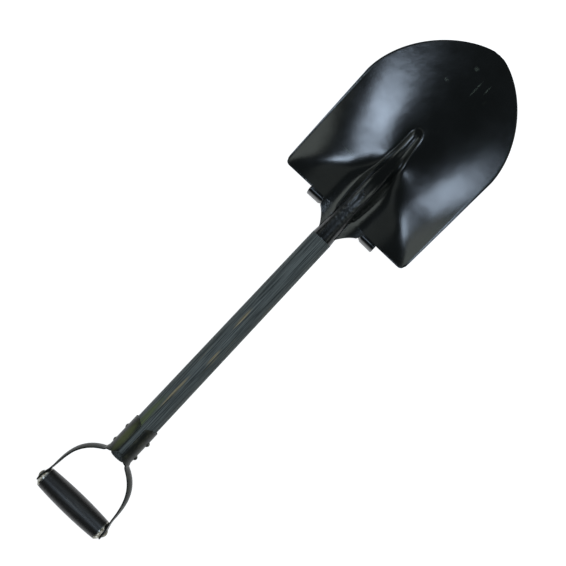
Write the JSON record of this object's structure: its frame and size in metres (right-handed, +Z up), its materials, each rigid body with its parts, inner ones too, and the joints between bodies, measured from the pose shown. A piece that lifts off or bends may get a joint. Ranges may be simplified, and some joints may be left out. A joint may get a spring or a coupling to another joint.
{
  "type": "round point shovel",
  "caption": "Short D-handle shovel: dished round-point steel blade with a frog and turned steps, riveted wooden shaft, steel yoke and a barrel grip that turns on its rod.",
  "frame": {"origin": "on the ground, under the middle of the tool's footprint, as it lies with its hollow side up", "axes": "+X along the tool from the grip towards the blade's point, +Z up, out of the blade's hollow; Y runs along the grip"},
  "size_m": [0.8088, 0.2146, 0.0577],
  "materials": {
    "blade_enamel": "black baking enamel, semi-gloss",
    "shaft_wood": "ash, stained dark grey and worn",
    "yoke_enamel": "worn olive-black enamel on stamped steel",
    "rivet_steel": "painted steel, worn on the heads",
    "grip_wood": "black lacquered turned wood",
    "cap_steel": "plated steel cups, rubbed bright",
    "rod_steel": "plain steel, peened ends"
  },
  "bodies": {
    "root": {"blade": "blade_enamel", "frog_rivet": "blade_enamel", "grip_rod": "rod_steel", "shaft": "shaft_wood", "shaft_rivet_lower": "rivet_steel", "shaft_rivet_upper": "rivet_steel", "socket": "blade_enamel", "yoke_left": "yoke_enamel", "yoke_right": "yoke_enamel"},
    "grip": {"grip": "grip_wood", "grip_cap_left": "cap_steel", "grip_cap_right": "cap_steel"}
  },
  "joints": [
    {"name": "grip_turn", "type": "hinge", "parent": "root", "child": "grip", "pos_m": [-0.38787, 0, 0.0165], "axis": [0, 1, 0], "continuous": true}
  ]
}
